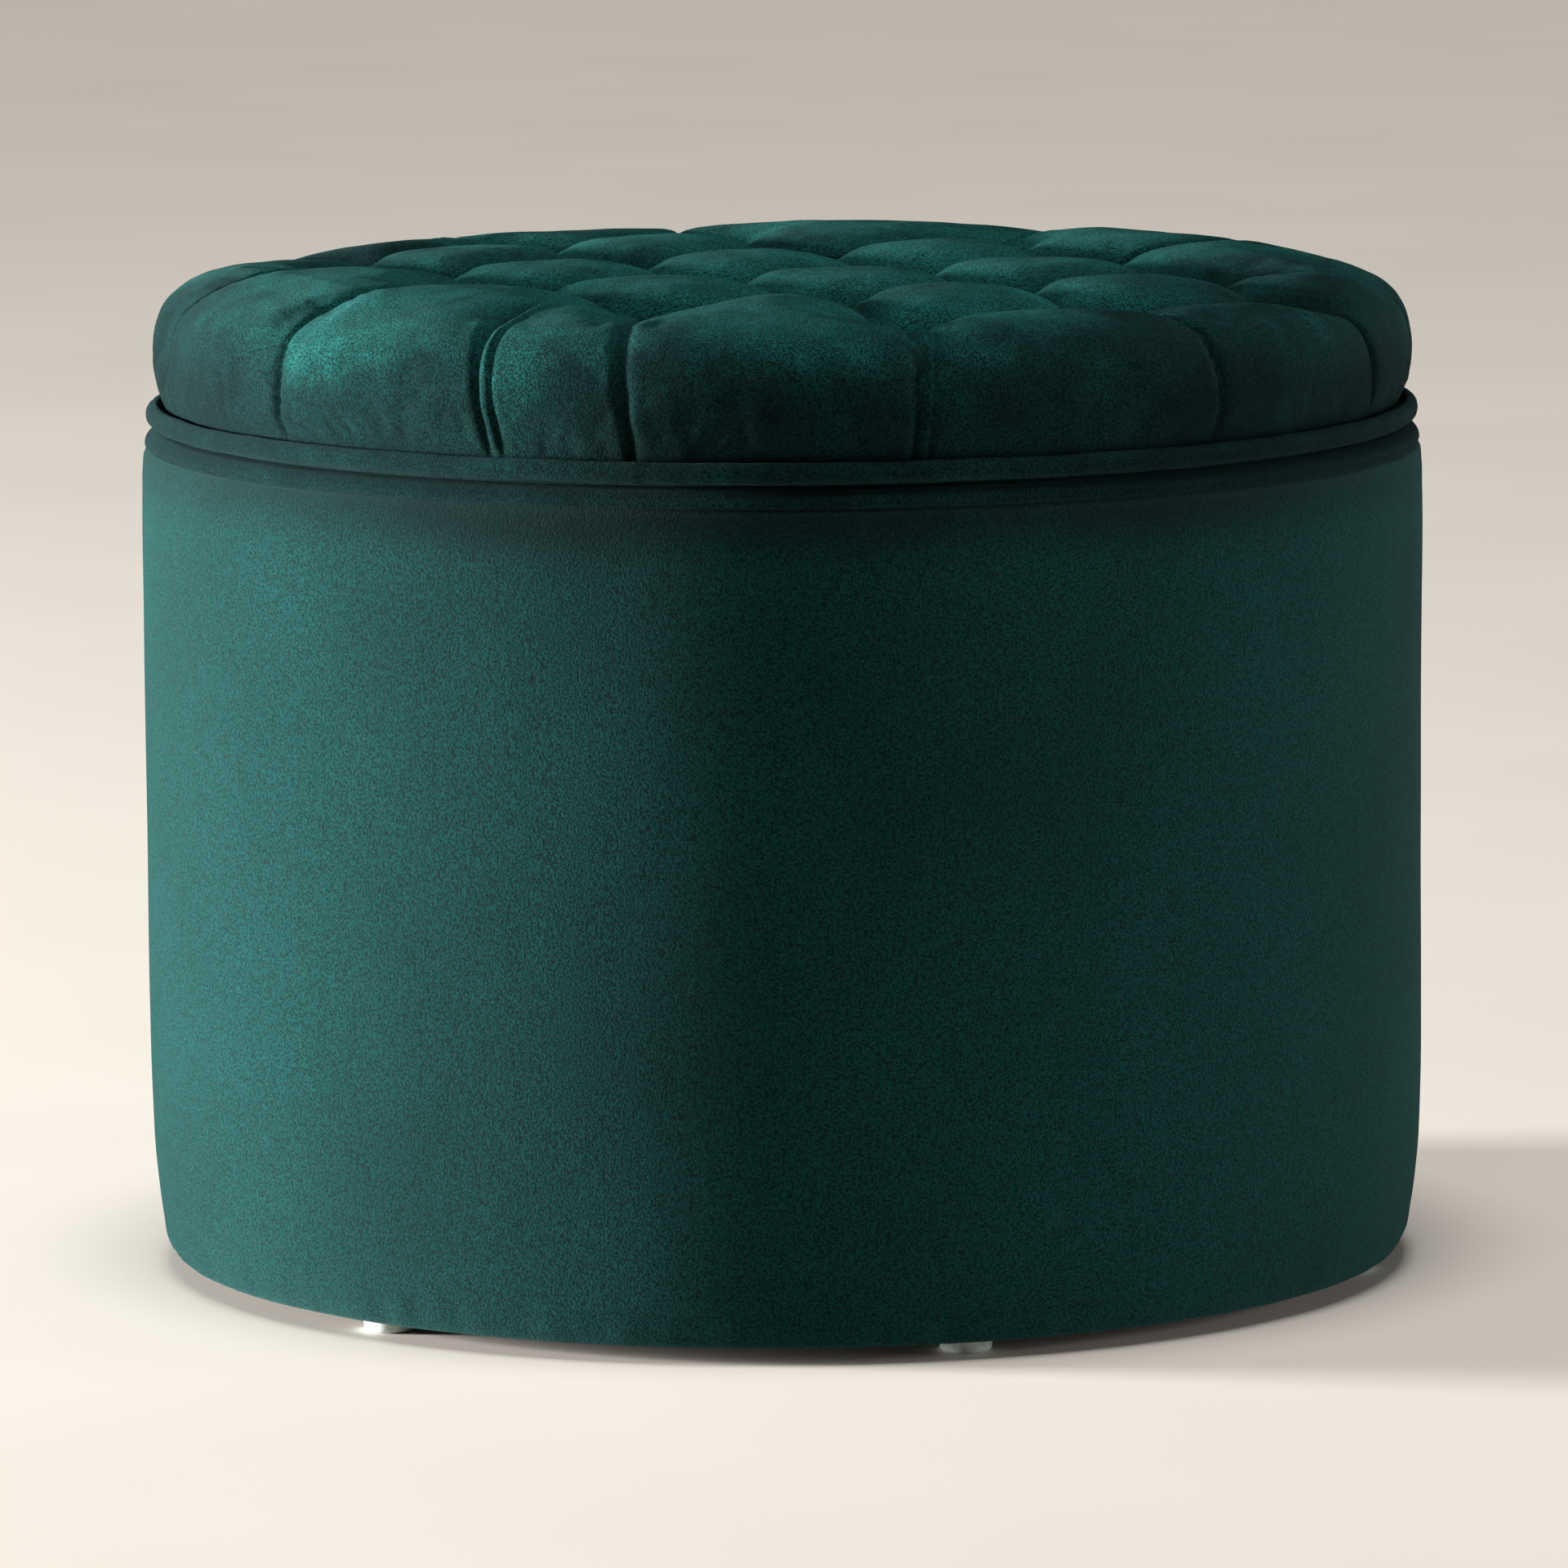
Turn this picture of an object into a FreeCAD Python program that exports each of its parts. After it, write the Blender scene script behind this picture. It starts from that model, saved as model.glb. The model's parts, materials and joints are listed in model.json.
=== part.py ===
# Round storage ottoman: a velvet drum standing on nail-on glides, hollow inside, under a
# loose button-tufted lid.  Millimetres, +Z up, floor at z = 0, drum axis on the Z axis.
# The tuft rows run along X.  Everything is driven from the "Sizes" sheet.
import FreeCAD, Part
import math
import os
import Sketcher

os.makedirs("parts", exist_ok=True)
doc = FreeCAD.newDocument("StorageOttoman")

# ------------------------------------------------------------------ the sizes sheet
DRIVING = {
    "drum_radius": 300,          # outside of the velvet at mid wall
    "foot_inset": 10,            # how far the padded wall draws in at the hem
    "foot_rise": 78,             # height over which it draws in
    "shoulder_drop": 23,         # height over which the wall rounds in below the rim
    "rim_height": 395,           # floor to the top of the rim
    "rim_strip_width": 9,        # how far the rim strip comes down outside
    "rim_turn_down": 40,         # how far it comes down inside
    "lid_height": 76,            # underside of the lid to the crest of the cushion
    "pad_overhang": 8,           # cushion bulge beyond the lid board
    "pad_widest": 13.5,          # top of the lid board to the widest line of the cushion
    "glide_height": 6.4,
    "glide_radius": 12.5,
    "glide_phase": 5.5,          # degrees
    "glide_edge": 32,            # glide centres in from the outside of the drum
    "nail_radius": 1.6,
    "nail_grip": 4.4,            # how deep the nail is moulded into its glide
    "nail_tip_cover": 0.5,
    "cover_thickness": 1.5,      # velvet with its backing
    "lining_thickness": 1,
    "hem_width": 50,             # velvet turned in under the board
    "dust_thickness": 0.6,
    "dust_inset": 17,            # edge of the dust cover in from the outside of the drum
    "side_padding": 11.5,        # foam round the wall
    "sheet_thickness": 3,        # bent hardboard
    "post_depth": 22,
    "post_angle": 7.4,           # degrees each post takes up, about 35 mm
    "board_thickness": 12,
    "ring_thickness": 15,
    "lid_board_thickness": 15,
    "plug_thickness": 12,
    "plug_clearance": 6.5,       # lined plug to the inside of the rim
    "lid_gap": 0.5,              # air between rim and lid
    "welt_radius": 5,
    "button_radius": 10,
    "button_dome": 5,
    "tuft_column": 142,          # between tufts along a row
    "tuft_row": 73,              # between rows
    "tuft_margin": 42,           # least distance from a tuft to the widest edge of the pad
    "tuft_shift_x": 7.5,         # the pattern is tied a little off the axis
    "tuft_shift_y": 2.5,
    "stray_x": 23,               # how far the front tuft is pulled out of its row
    "stray_y": 5,
    "dimple_floor": 40,          # crest of the cushion to the bottom of a dimple
    "dimple_mouth": 27,          # radius of a dimple at the crest
    "twine_radius": 1.2,
    "knot_radius": 4.5,
    "knot_height": 3.5,
    "screw_radius": 2,
    "screw_head_radius": 4,
    "screw_length": 40,
    "screw_edge": 25,            # plug screws in from the edge of the plug
    "screw_tip_cover": 3,        # wood left beyond the tip of a plug screw
    "staple_edge": 23,
    "staple_width": 10,
    "staple_wire": 0.6,
    "staple_leg": 6,
}
DERIVED = {
    "hem_z": "glide_height + dust_thickness",
    "floor_board_z": "hem_z + cover_thickness",
    "well_floor_z": "floor_board_z + board_thickness",
    "foot_top_z": "hem_z + foot_rise",
    "shoulder_z": "rim_height - shoulder_drop",
    "strip_z": "rim_height - rim_strip_width",
    "wall_top_z": "rim_height - cover_thickness",
    "ring_z": "wall_top_z - ring_thickness",
    "rim_leg_z": "rim_height - rim_turn_down",
    "padding_radius": "drum_radius - cover_thickness",
    "wall_radius": "padding_radius - side_padding",
    "frame_radius": "wall_radius - sheet_thickness",
    "post_inner_radius": "frame_radius - post_depth",
    "well_radius": "post_inner_radius - sheet_thickness",
    "rim_opening_radius": "well_radius - cover_thickness",
    "hem_inner_radius": "drum_radius - hem_width",
    "post_circle": "(frame_radius + post_inner_radius) / 2",
    "glide_circle": "drum_radius - glide_edge",
    "staple_circle": "drum_radius - staple_edge",
    "lid_z": "rim_height + lid_gap",
    "lid_board_z": "lid_z + cover_thickness",
    "cushion_z": "lid_board_z + lid_board_thickness",
    "crest_z": "lid_z + lid_height",
    "pad_widest_z": "cushion_z + pad_widest",
    "edge_radius": "wall_radius + cover_thickness",
    "welt_z": "lid_board_z + welt_radius",
    "welt_top_z": "welt_z + welt_radius",
    "pad_radius": "wall_radius + pad_overhang",
    "lined_plug_radius": "rim_opening_radius - plug_clearance",
    "plug_radius": "lined_plug_radius - lining_thickness",
    "plug_z": "lid_board_z - plug_thickness",
    "lid_lining_z": "plug_z - lining_thickness",
    "plug_screw_circle": "plug_radius - screw_edge",
    "plug_screw_length": "plug_thickness + lid_board_thickness - screw_tip_cover",
    "tuft_limit": "pad_radius - tuft_margin",
    "nail_z": "glide_height - nail_grip",
    "nail_length": "well_floor_z - nail_z - nail_tip_cover",
    "dimple_z": "crest_z - dimple_floor",
}
sheet = doc.addObject("Spreadsheet::Sheet", "Sizes")
for row, (alias, entry) in enumerate(list(DRIVING.items()) + list(DERIVED.items()), start=1):
    cell = f"B{row}"
    sheet.set(f"A{row}", alias)
    sheet.set(cell, str(entry) if alias in DRIVING else "=" + entry)
    sheet.setAlias(cell, alias)
doc.recompute()


# ------------------------------------------------------------------ helpers
def sized(expression):
    """The expression with every sheet name written as Sizes.name."""
    words = expression.replace("(", "( ").replace(")", " )").split()
    names = set(DRIVING) | set(DERIVED)
    return " ".join("Sizes." + word if word in names else word for word in words)


def value(expression):
    return float(sheet.evalExpression(sized(expression)))


def bind(thing, **sizes):
    for name, expression in sizes.items():
        thing.setExpression(name.replace("__", "."), sized(expression))
    return thing


def place(thing, x="0", y="0", z="0", turn="0"):
    """Put a thing at x, y, z, turned about Z by turn degrees."""
    bind(thing, Placement__Base__x=x, Placement__Base__y=y, Placement__Base__z=z)
    return bind(thing, Placement__Rotation__Angle=turn)


def pin(sketch, geometry, point, at):
    """Hold one sketch point at (radius, height) from the origin."""
    for kind, expression, axis in (("DistanceX", at[0], -2), ("DistanceY", at[1], -1)):
        if expression == "0":
            sketch.addConstraint(Sketcher.Constraint("PointOnObject", geometry, point, axis))
        else:
            index = sketch.addConstraint(
                Sketcher.Constraint(kind, -1, 1, geometry, point, value(expression)))
            sketch.setExpression(f"Constraints[{index}]", sized(expression))


def arc(start, through, end):
    """The arc through three points, and whether it runs clockwise from start to end."""
    circle = Part.Arc(start, through, end).toShape().Curve
    centre, radius = circle.Center, circle.Radius
    clockwise = (through - start).cross(end - through).z < 0
    first, last = (end, start) if clockwise else (start, end)
    angles = [math.atan2(point.y - centre.y, point.x - centre.x) for point in (first, last)]
    if angles[1] < angles[0]:
        angles[1] += 2 * math.pi
    plain = Part.Circle(centre, FreeCAD.Vector(0, 0, 1), radius)
    return Part.ArcOfCircle(plain, *angles), clockwise


def turned(label, outline):
    """A body turned about Z.

    The outline is a closed run of (radius, height) corners; a third entry is a point that
    the side arriving at that corner bulges through, which makes that side an arc.
    """
    body = doc.addObject("PartDesign::Body", label)
    body.Label = label
    sketch = body.newObject("Sketcher::SketchObject", label + "_outline")
    plane = [item for item in body.Origin.OriginFeatures if item.Role == "XZ_Plane"][0]
    sketch.AttachmentSupport = [(plane, "")]
    sketch.MapMode = "FlatFace"
    corners = [FreeCAD.Vector(value(corner[0]), value(corner[1]), 0) for corner in outline]
    ends = []
    for number, corner in enumerate(outline):
        start, end = corners[number - 1], corners[number]
        if len(corner) == 3:
            through = FreeCAD.Vector(value(corner[2][0]), value(corner[2][1]), 0)
            curve, swapped = arc(start, through, end)
            side = sketch.addGeometry(curve, False)
            mark = sketch.addGeometry(Part.Point(through), True)
            pin(sketch, mark, 1, corner[2])
            sketch.addConstraint(Sketcher.Constraint("PointOnObject", mark, 1, side))
        else:
            side = sketch.addGeometry(Part.LineSegment(start, end), False)
            swapped = False
        ends.append((side, 2, 1) if swapped else (side, 1, 2))
    for number, corner in enumerate(outline):
        side, _, last = ends[number]
        following, first, _ = ends[(number + 1) % len(outline)]
        sketch.addConstraint(Sketcher.Constraint("Coincident", side, last, following, first))
        pin(sketch, side, last, corner)
    revolution = body.newObject("PartDesign::Revolution", label + "_turn")
    revolution.Profile = sketch
    revolution.ReferenceAxis = (sketch, ["V_Axis"])
    revolution.Angle = 360
    body.Tip = revolution
    return body


def ring(label, inner, outer, low, high):
    """A plain turned tube."""
    return turned(label, [(inner, low), (outer, low), (outer, high), (inner, high)])


def disc(label, radius, low, high):
    return turned(label, [("0", low), (radius, low), (radius, high), ("0", high)])


def cylinder(label, radius, height):
    return bind(doc.addObject("Part::Cylinder", label), Radius=radius, Height=height)


def cone(label, low_radius, high_radius, height):
    shape = doc.addObject("Part::Cone", label)
    return bind(shape, Radius1=low_radius, Radius2=high_radius, Height=height)


def box(label, length, width, height):
    shape = doc.addObject("Part::Box", label)
    return bind(shape, Length=length, Width=width, Height=height)


def fuse(label, pieces):
    fused = doc.addObject("Part::MultiFuse", label)
    fused.Shapes = pieces
    return fused


def group(label, pieces):
    together = doc.addObject("Part::Compound", label)
    together.Label = label
    together.Links = pieces
    return together


def cut(label, blank, tool):
    result = doc.addObject("Part::Cut", label)
    result.Label = label
    result.Base = blank
    result.Tool = tool
    return result


def around(circle, angle):
    """x and y expressions of a point on a circle, the angle in degrees."""
    return f"{circle} * cos( ( {angle} ) * 1deg )", f"{circle} * sin( ( {angle} ) * 1deg )"


def screw(label, circle, angle, z, length, upward):
    """A countersunk screw, its head flush at height z."""
    x, y = around(circle, angle)
    shank = cylinder(label + "_shank", "screw_radius", length)
    head_height = "screw_head_radius - screw_radius"
    if upward:
        head = cone(label + "_head", "screw_head_radius", "screw_radius", head_height)
        place(shank, x, y, z)
        place(head, x, y, z)
    else:
        head = cone(label + "_head", "screw_radius", "screw_head_radius", head_height)
        place(shank, x, y, f"{z} - {length}")
        place(head, x, y, f"{z} - ( {head_height} )")
    return fuse(label, [shank, head])


# ------------------------------------------------------------------ fixings of the drum
GLIDES = 6
POSTS = 8
STAPLES = 24
nails = []
for i in range(GLIDES):
    nail = cylinder(f"nail_{i + 1}", "nail_radius", "nail_length")
    x, y = around("glide_circle", f"glide_phase + {i * 360 / GLIDES}")
    nails.append(place(nail, x, y, "nail_z"))
glide_nails = group("glide_nails", nails)

screws = []
for i in range(POSTS):
    angle = str(i * 360 / POSTS)
    screws.append(screw(f"foot_screw_{i + 1}", "post_circle", angle, "floor_board_z",
                        "screw_length", True))
    screws.append(screw(f"rim_screw_{i + 1}", "post_circle", angle, "wall_top_z",
                        "screw_length", False))
post_screws = group("post_screws", screws)

staples = []
for i in range(STAPLES):
    angle = (i + 0.5) * 360 / STAPLES
    crown = box(f"crown_{i + 1}", "staple_wire", "staple_width", "staple_wire")
    near = box(f"near_leg_{i + 1}", "staple_wire", "staple_wire", "staple_leg")
    far = box(f"far_leg_{i + 1}", "staple_wire", "staple_wire", "staple_leg")
    bind(far, Placement__Base__y="staple_width - staple_wire")
    staple = fuse(f"staple_{i + 1}", [crown, near, far])
    x, y = around("staple_circle", f"glide_phase + {angle}")
    place(staple, x, y, "glide_height - staple_wire", f"( glide_phase + {angle} ) * 1deg")
    staples.append(staple)
dust_cover_staples = group("dust_cover_staples", staples)

# ------------------------------------------------------------------ the drum
board_blank = disc("bottom_board_blank", "frame_radius", "floor_board_z", "well_floor_z")
board_fixings = group("bottom_board_fixings", [glide_nails, post_screws, dust_cover_staples])
bottom_board = cut("bottom_board", board_blank, board_fixings)

posts = []
for i in range(POSTS):
    name = f"wall_post_{i + 1}"
    sector = cylinder(name + "_sector", "frame_radius", "ring_z - well_floor_z")
    bind(sector, Angle="post_angle")
    place(sector, z="well_floor_z", turn=f"( {i * 360 / POSTS} - post_angle / 2 ) * 1deg")
    core = cylinder(name + "_core", "post_inner_radius", "ring_z - well_floor_z")
    place(core, z="well_floor_z")
    posts.append(cut(name, cut(name + "_blank", sector, core), post_screws))

ring_blank = ring("rim_ring_blank", "post_inner_radius", "frame_radius", "ring_z", "wall_top_z")
rim_ring = cut("rim_ring", ring_blank, post_screws)
outer_wall = ring("outer_wall", "frame_radius", "wall_radius", "floor_board_z", "wall_top_z")
inner_wall = ring("inner_wall", "well_radius", "post_inner_radius",
                  "well_floor_z", "wall_top_z")

# The padded outside: each arc of the foam is the arc of the velvet, moved in by its thickness.
foot_through = ("drum_radius - foot_inset * 0.22", "hem_z + foot_rise * 0.42")
foot_through_inside = ("padding_radius - foot_inset * 0.22", "hem_z + foot_rise * 0.42")
strip_edge = ("drum_radius - 1.3", "strip_z")
strip_edge_inside = ("padding_radius - 1.3", "strip_z")
shoulder_through = ("drum_radius - 0.35", "( shoulder_z + strip_z ) / 2")
shoulder_through_inside = ("padding_radius - 0.35", "( shoulder_z + strip_z ) / 2")
rim_edge = ("drum_radius - 8", "rim_height")
rim_edge_inside = ("drum_radius - 8", "wall_top_z")
rim_through = ("drum_radius - 3.2", "rim_height - 2.4")
rim_through_inside = ("padding_radius - 2.8", "wall_top_z - 2.1")

wall_padding = turned("wall_padding", [
    ("wall_radius", "floor_board_z"),
    ("padding_radius - foot_inset", "floor_board_z"),
    ("padding_radius", "foot_top_z", foot_through_inside),
    ("padding_radius", "shoulder_z"),
    (*strip_edge_inside, shoulder_through_inside),
    (*rim_edge_inside, rim_through_inside),
    ("wall_radius", "wall_top_z"),
])
side_cover_blank = turned("side_cover_blank", [
    ("hem_inner_radius", "hem_z"),
    ("drum_radius - foot_inset", "hem_z"),
    ("drum_radius", "foot_top_z", foot_through),
    ("drum_radius", "shoulder_z"),
    (*strip_edge, shoulder_through),
    strip_edge_inside,
    ("padding_radius", "shoulder_z", shoulder_through_inside),
    ("padding_radius", "foot_top_z"),
    ("padding_radius - foot_inset", "floor_board_z", foot_through_inside),
    ("hem_inner_radius", "floor_board_z"),
])
hem_fixings = group("hem_fixings", [glide_nails, dust_cover_staples])
side_cover = cut("side_cover", side_cover_blank, hem_fixings)
rim_cover = turned("rim_cover", [
    strip_edge,
    (*rim_edge, rim_through),
    ("rim_opening_radius", "rim_height"),
    ("rim_opening_radius", "rim_leg_z"),
    ("well_radius", "rim_leg_z"),
    ("well_radius", "wall_top_z"),
    rim_edge_inside,
    (*strip_edge_inside, rim_through_inside),
])
wall_lining = ring("wall_lining", "well_radius - lining_thickness", "well_radius",
                   "well_floor_z", "rim_leg_z")
floor_lining = disc("floor_lining", "well_radius - lining_thickness",
                    "well_floor_z", "well_floor_z + lining_thickness")
dust_blank = disc("dust_cover_blank", "drum_radius - dust_inset", "glide_height", "hem_z")
dust_cover = cut("dust_cover", dust_blank, hem_fixings)

glides = []
for i in range(GLIDES):
    name = f"glide_{i + 1}"
    button = turned(name + "_blank", [
        ("0", "0"),
        ("glide_radius - 3", "0"),
        ("glide_radius - 0.6", "2.6", ("glide_radius - 1.3", "0.8")),
        ("glide_radius", "glide_height"),
        ("0", "glide_height"),
    ])
    x, y = around("glide_circle", f"glide_phase + {i * 360 / GLIDES}")
    place(button, x, y)
    glides.append(cut(name, button, glide_nails))

# ------------------------------------------------------------------ tufting
# A staggered lattice, a little off the axis.  Every tuft far enough from the edge is kept.
# The front tuft strays from its place, and drags the one behind it along with it.
STRAYS = {(-3, 0): 1, (-2, 0): 0.4}
tufts = []
reach = range(-12, 13)
for row in reach:
    for column in reach:
        across = f"tuft_column * {column + (-0.25 if row % 2 else 0.25)}"
        along = f"tuft_row * {row + 0.5}"
        if math.hypot(value(across), value(along)) <= value("tuft_limit"):
            share = STRAYS.get((row, column), 0)
            tufts.append((f"{across} + tuft_shift_x + stray_x * {share}",
                          f"{along} + tuft_shift_y + stray_y * {share}"))

buttons, twines, velvet_dimples, foam_dimples = [], [], [], []
for i, (x, y) in enumerate(tufts, start=1):
    dome = doc.addObject("Part::Ellipsoid", f"dome_{i}")
    bind(dome, Radius1="button_dome", Radius2="button_radius", Radius3="button_radius")
    dome.Angle1 = 0
    buttons.append(place(dome, x, y, "dimple_z"))
    strand = cylinder(f"strand_{i}", "twine_radius", "dimple_z - lid_board_z")
    knot = cylinder(f"knot_{i}", "knot_radius", "knot_height")
    place(strand, x, y, "lid_board_z")
    place(knot, x, y, "lid_board_z")
    twines.append(fuse(f"twine_{i}", [strand, knot]))
    velvet = cone(f"velvet_dimple_{i}", "button_radius + 0.5", "dimple_mouth", "dimple_floor")
    velvet_dimples.append(place(velvet, x, y, "dimple_z"))
    foam = cone(f"foam_dimple_{i}", "button_radius + 2.2", "dimple_mouth + 2.2",
                "dimple_floor + cover_thickness")
    foam_dimples.append(place(foam, x, y, "dimple_z - cover_thickness"))
tuft_buttons = group("tuft_buttons", buttons)
button_twine = group("button_twine", twines)

# ------------------------------------------------------------------ the lid
plug_fixings = []
for i in range(6):
    plug_fixings.append(screw(f"plug_screw_{i + 1}", "plug_screw_circle", str(20 + 60 * i),
                              "plug_z", "plug_screw_length", True))
plug_screws = group("plug_screws", plug_fixings)
lid_board_blank = disc("lid_board_blank", "wall_radius", "lid_board_z", "cushion_z")
lid_board = cut("lid_board", lid_board_blank,
                group("lid_board_fixings", [button_twine, plug_screws]))
lid_plug_blank = disc("lid_plug_blank", "plug_radius", "plug_z", "lid_board_z")
lid_plug = cut("lid_plug", lid_plug_blank, plug_screws)
lid_lining = turned("lid_lining", [
    ("0", "lid_lining_z"),
    ("lined_plug_radius", "lid_lining_z"),
    ("lined_plug_radius", "lid_board_z"),
    ("plug_radius", "lid_board_z"),
    ("plug_radius", "plug_z"),
    ("0", "plug_z"),
])
foam_blank = turned("lid_cushion_blank", [
    ("0", "cushion_z"),
    ("wall_radius", "cushion_z"),
    ("pad_radius - 1.5", "pad_widest_z", ("pad_radius - 3", "pad_widest_z - 7.5")),
    ("pad_radius - 11", "crest_z - 16.5",
     ("pad_radius - 4.6", "( pad_widest_z + crest_z - 16.5 ) / 2 + 3.25")),
    ("pad_radius - 46", "crest_z - 3.5", ("pad_radius - 24", "crest_z - 8.2")),
    ("0", "crest_z - 1.5"),
])
foam_dimpled = cut("lid_cushion_dimpled", foam_blank, group("foam_dimples", foam_dimples))
lid_cushion = cut("lid_cushion", foam_dimpled, button_twine)
skin_blank = turned("lid_cover_blank", [
    ("0", "lid_z"),
    ("edge_radius", "lid_z"),
    ("edge_radius", "welt_top_z"),
    ("pad_radius", "pad_widest_z", ("pad_radius - 1.6", "pad_widest_z - 9")),
    ("pad_radius - 9.6", "crest_z - 15.5",
     ("pad_radius - 3.2", "( pad_widest_z + crest_z - 15.5 ) / 2 + 3.25")),
    ("pad_radius - 45", "crest_z - 2", ("pad_radius - 23", "crest_z - 6.8")),
    ("0", "crest_z"),
])
skin_dimpled = cut("lid_cover_dimpled", skin_blank, group("velvet_dimples", velvet_dimples))
board_space = disc("lid_board_space", "wall_radius", "lid_board_z", "cushion_z")
plug_space = disc("lid_plug_space", "lined_plug_radius", "lid_z - 5", "lid_board_z")
skin_core = fuse("lid_cover_core", [board_space, plug_space, foam_dimpled])
skin_hollow = cut("lid_cover_hollow", skin_dimpled, skin_core)
lid_cover = cut("lid_cover", skin_hollow, button_twine)
lid_welt = turned("lid_welt", [
    ("edge_radius", "welt_z + 2.2"),
    ("edge_radius", "welt_z - 2.2", ("edge_radius + 2 * welt_radius - 0.5", "welt_z")),
])

# ------------------------------------------------------------------ check and write out
NODES = [
    bottom_board, *posts, rim_ring, outer_wall, inner_wall, wall_padding, side_cover,
    rim_cover, wall_lining, floor_lining, dust_cover, *glides, glide_nails, post_screws,
    dust_cover_staples, lid_board, lid_plug, plug_screws, lid_lining, lid_cushion,
    lid_cover, lid_welt, tuft_buttons, button_twine,
]
doc.recompute()
for thing in doc.Objects:
    if "Invalid" in thing.State or "Error" in thing.State:
        raise RuntimeError(f"{thing.Label} did not recompute: {thing.State}")
for node in NODES:
    if node.Shape.isNull() or not node.Shape.isValid():
        raise RuntimeError(f"{node.Label} has no valid shape")
    node.Shape.exportStep(f"parts/{node.Label}.step")
    print(f"{node.Label:22s} {len(node.Shape.Solids):3d} solid  {node.Shape.Volume:12.1f} mm3")
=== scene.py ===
import json
import math

import bpy
import numpy as np
from mathutils import Matrix, Vector, noise


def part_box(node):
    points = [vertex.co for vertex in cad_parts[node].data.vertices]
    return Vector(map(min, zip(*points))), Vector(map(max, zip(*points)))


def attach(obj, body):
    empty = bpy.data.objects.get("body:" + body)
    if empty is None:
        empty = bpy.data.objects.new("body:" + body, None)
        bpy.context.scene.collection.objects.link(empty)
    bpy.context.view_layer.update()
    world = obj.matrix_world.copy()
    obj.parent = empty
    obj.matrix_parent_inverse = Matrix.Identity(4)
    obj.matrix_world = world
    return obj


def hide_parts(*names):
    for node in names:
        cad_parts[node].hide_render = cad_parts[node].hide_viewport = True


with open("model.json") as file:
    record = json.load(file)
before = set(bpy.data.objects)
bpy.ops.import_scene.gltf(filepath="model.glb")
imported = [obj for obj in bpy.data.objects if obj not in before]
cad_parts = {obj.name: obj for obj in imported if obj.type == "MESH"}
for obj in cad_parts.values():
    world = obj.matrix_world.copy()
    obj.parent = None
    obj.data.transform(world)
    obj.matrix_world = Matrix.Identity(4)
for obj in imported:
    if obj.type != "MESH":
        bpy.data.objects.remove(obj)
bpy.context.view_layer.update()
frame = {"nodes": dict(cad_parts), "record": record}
MM = 0.001

# ---------------------------------------------------------------- sizes, read from the CAD nodes
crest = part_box("lid_cover")[1].z          # highest point of the cushion
lid_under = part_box("lid_cover")[0].z      # velvet turned in under the lid
edge_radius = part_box("lid_board")[1].x + 1.5 * MM
welt_low, welt_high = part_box("lid_welt")
welt_z = (welt_low.z + welt_high.z) / 2
drum_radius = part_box("side_cover")[1].x
hem_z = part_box("side_cover")[0].z
strip_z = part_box("side_cover")[1].z       # where the rim strip is sewn to the side panel
rim_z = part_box("rim_cover")[1].z
well_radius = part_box("wall_lining")[1].x
well_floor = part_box("floor_lining")[0].z
frame_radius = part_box("outer_wall")[1].x


# ---------------------------------------------------------------- helpers
def select_only(piece):
    bpy.ops.object.select_all(action="DESELECT")
    piece.select_set(True)
    bpy.context.view_layer.objects.active = piece


def apply_modifier(piece, kind, **settings):
    bpy.context.view_layer.objects.active = piece
    modifier = piece.modifiers.new(kind.title(), kind)
    for name, value in settings.items():
        setattr(modifier, name, value)
    bpy.ops.object.modifier_apply(modifier=modifier.name)


def cloth_piece(name, points, faces, body):
    """A piece from its own points and faces, riding on a body."""
    mesh = bpy.data.meshes.new(name)
    mesh.from_pydata([tuple(point) for point in points], [], faces)
    mesh.update()
    piece = bpy.data.objects.new(name, mesh)
    bpy.context.collection.objects.link(piece)
    select_only(piece)
    bpy.ops.object.shade_smooth()
    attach(piece, body)
    return piece


def curve_through(stations, count):
    """count (radius, height) points evenly spaced along a smooth line through the stations."""
    stations = np.array(stations, float)
    runs = np.linalg.norm(np.diff(stations, axis=0), axis=1)
    at = np.concatenate([[0], np.cumsum(runs)])
    fine = np.linspace(0, at[-1], 2000)
    slopes = np.gradient(stations, at, axis=0)
    index = np.clip(np.searchsorted(at, fine, side="right") - 1, 0, len(at) - 2)
    span = (at[index + 1] - at[index])[:, None]
    t = ((fine - at[index])[:, None]) / span
    line = ((2 * t**3 - 3 * t**2 + 1) * stations[index] + (t**3 - 2 * t**2 + t) * span * slopes[index]
            + (3 * t**2 - 2 * t**3) * stations[index + 1] + (t**3 - t**2) * span * slopes[index + 1])
    along = np.concatenate([[0], np.cumsum(np.linalg.norm(np.diff(line, axis=0), axis=1))])
    even = np.linspace(0, along[-1], count)
    return np.stack([np.interp(even, along, line[:, 0]), np.interp(even, along, line[:, 1])], 1), along[-1]


def turn_round(profile, steps):
    """Points and faces of a closed outline turned about the drum's axis."""
    angles = np.linspace(0, 2 * math.pi, steps, endpoint=False)
    points = np.concatenate([np.stack([profile[:, 0] * math.cos(a), profile[:, 0] * math.sin(a),
                                       profile[:, 1]], 1) for a in angles])
    rows = len(profile)
    faces = []
    for step in range(steps):
        here, there = step * rows, (step + 1) % steps * rows
        for row in range(rows):
            after = (row + 1) % rows
            faces.append((here + row, there + row, there + after, here + after))
    return points, faces


def outwards(points):
    """Each point's direction away from the drum's axis."""
    return points[:, :2] / np.linalg.norm(points[:, :2], axis=1)[:, None]


def soft_noise(points, size, seed):
    """Smooth noise from -1 to 1 whose lumps are about size across, in metres."""
    offset = Vector((seed * 17.3, seed * 5.1, seed * 9.7))
    return np.array([noise.noise(Vector(point) / size + offset) for point in points])


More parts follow.
